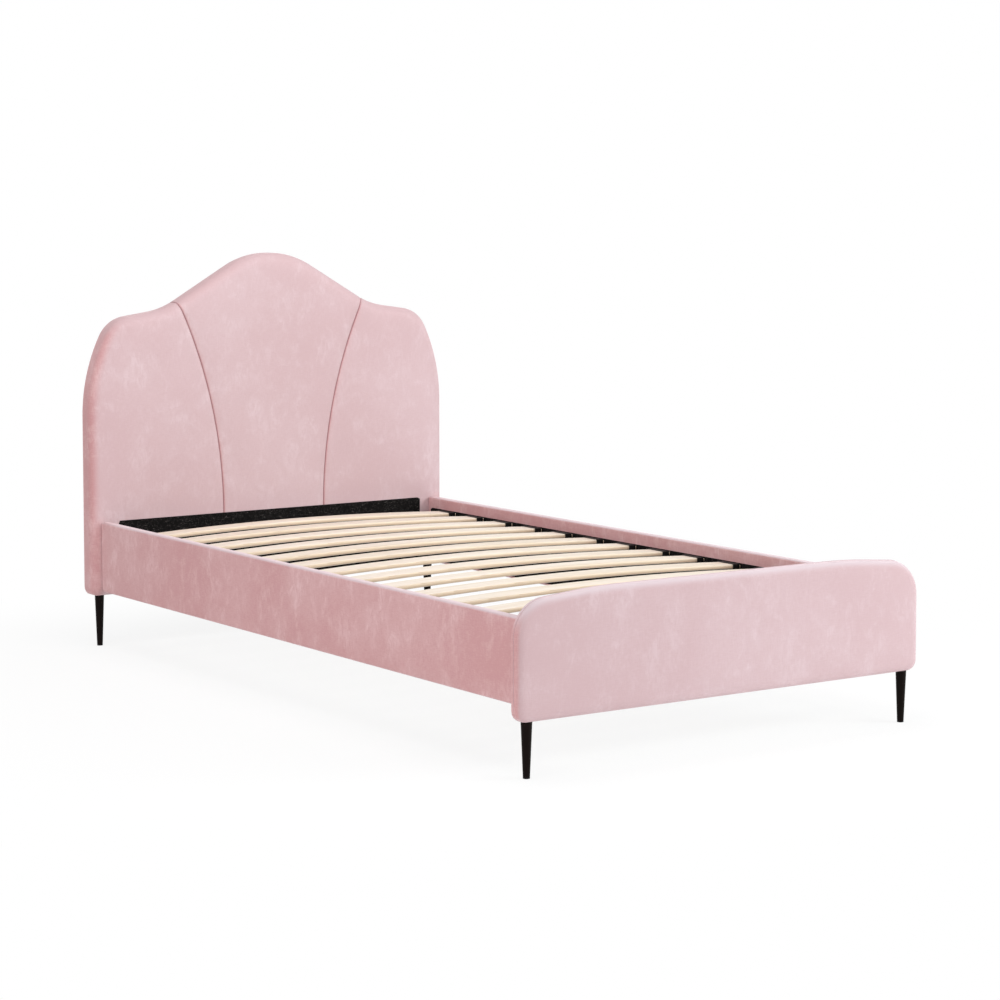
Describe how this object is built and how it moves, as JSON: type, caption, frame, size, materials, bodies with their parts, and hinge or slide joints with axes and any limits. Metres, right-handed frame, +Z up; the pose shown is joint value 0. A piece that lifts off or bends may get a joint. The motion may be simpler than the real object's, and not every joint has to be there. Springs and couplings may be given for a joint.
{
  "type": "upholstered bed",
  "caption": "Single bed with a crowned, seamed velvet headboard, low velvet footboard and rails, bowed sprung slats and tapered screw-in legs.",
  "frame": {"origin": "centre of the bed's outline, on the floor", "axes": "+Z up, +Y from the footboard to the headboard, +X to the right when standing at the foot and looking at the headboard"},
  "size_m": [1.185, 2.147, 1.0996],
  "materials": {
    "pink_velvet": "brushed velvet",
    "black_lining": "plain weave",
    "dust_cloth": "non-woven",
    "foam": "open cell",
    "birch_slat": "sanded clear lacquer",
    "plywood": "raw",
    "pine": "raw",
    "ledger_paint": "black stain",
    "holder_plastic": "moulded",
    "glide_plastic": "moulded",
    "black_powder_coat": "satin powder coat",
    "black_zinc": "black zinc",
    "zinc_steel": "zinc plated"
  },
  "bodies": {
    "bed_frame": {"bracket_inserts": "zinc_steel", "corner_brackets": "black_powder_coat", "footboard_bead": "pink_velvet", "footboard_bolts": "black_zinc", "footboard_core": "plywood", "footboard_foam": "foam", "footboard_front_cover": "pink_velvet", "footboard_inside_cover": "pink_velvet", "footboard_lining": "black_lining", "headboard_back_cloth": "dust_cloth", "headboard_bolts": "black_zinc", "headboard_cover_centre": "pink_velvet", "headboard_cover_left": "pink_velvet", "headboard_cover_right": "pink_velvet", "headboard_face_panel": "plywood", "headboard_foam": "foam", "headboard_lining": "black_lining", "headboard_lower_rail": "pine", "headboard_middle_rail": "pine", "headboard_post_left": "pine", "headboard_post_right": "pine", "headboard_rib_left": "plywood", "headboard_rib_right": "plywood", "ledger_screws": "black_zinc", "leg_inserts": "zinc_steel", "rail_bolts": "black_zinc", "side_rail_board_left": "plywood", "side_rail_board_right": "plywood", "side_rail_cover_left": "pink_velvet", "side_rail_cover_right": "pink_velvet", "side_rail_foam_left": "foam", "side_rail_foam_right": "foam", "side_rail_lining_left": "black_lining", "side_rail_lining_right": "black_lining", "slat_01": "birch_slat", "slat_02": "birch_slat", "slat_03": "birch_slat", "slat_04": "birch_slat", "slat_05": "birch_slat", "slat_06": "birch_slat", "slat_07": "birch_slat", "slat_08": "birch_slat", "slat_09": "birch_slat", "slat_10": "birch_slat", "slat_11": "birch_slat", "slat_12": "birch_slat", "slat_13": "birch_slat", "slat_holders_left": "holder_plastic", "slat_holders_right": "holder_plastic", "slat_ledger_left": "ledger_paint", "slat_ledger_right": "ledger_paint"},
    "front_left_leg": {"leg_front_left": "black_powder_coat", "glide_front_left": "glide_plastic"},
    "front_right_leg": {"leg_front_right": "black_powder_coat", "glide_front_right": "glide_plastic"},
    "rear_left_leg": {"leg_rear_left": "black_powder_coat", "glide_rear_left": "glide_plastic"},
    "rear_right_leg": {"leg_rear_right": "black_powder_coat", "glide_rear_right": "glide_plastic"}
  },
  "joints": [
    {"name": "front_left_leg_screw", "type": "hinge", "parent": "bed_frame", "child": "front_left_leg", "pos_m": [-0.555, -1.0505, 0.1], "axis": [0, 0, -1], "range_deg": [0, 360]},
    {"name": "front_right_leg_screw", "type": "hinge", "parent": "bed_frame", "child": "front_right_leg", "pos_m": [0.555, -1.0505, 0.1], "axis": [0, 0, -1], "range_deg": [0, 360]},
    {"name": "rear_left_leg_screw", "type": "hinge", "parent": "bed_frame", "child": "rear_left_leg", "pos_m": [-0.552, 1.0465, 0.1], "axis": [0, 0, -1], "range_deg": [0, 360]},
    {"name": "rear_right_leg_screw", "type": "hinge", "parent": "bed_frame", "child": "rear_right_leg", "pos_m": [0.552, 1.0465, 0.1], "axis": [0, 0, -1], "range_deg": [0, 360]}
  ]
}
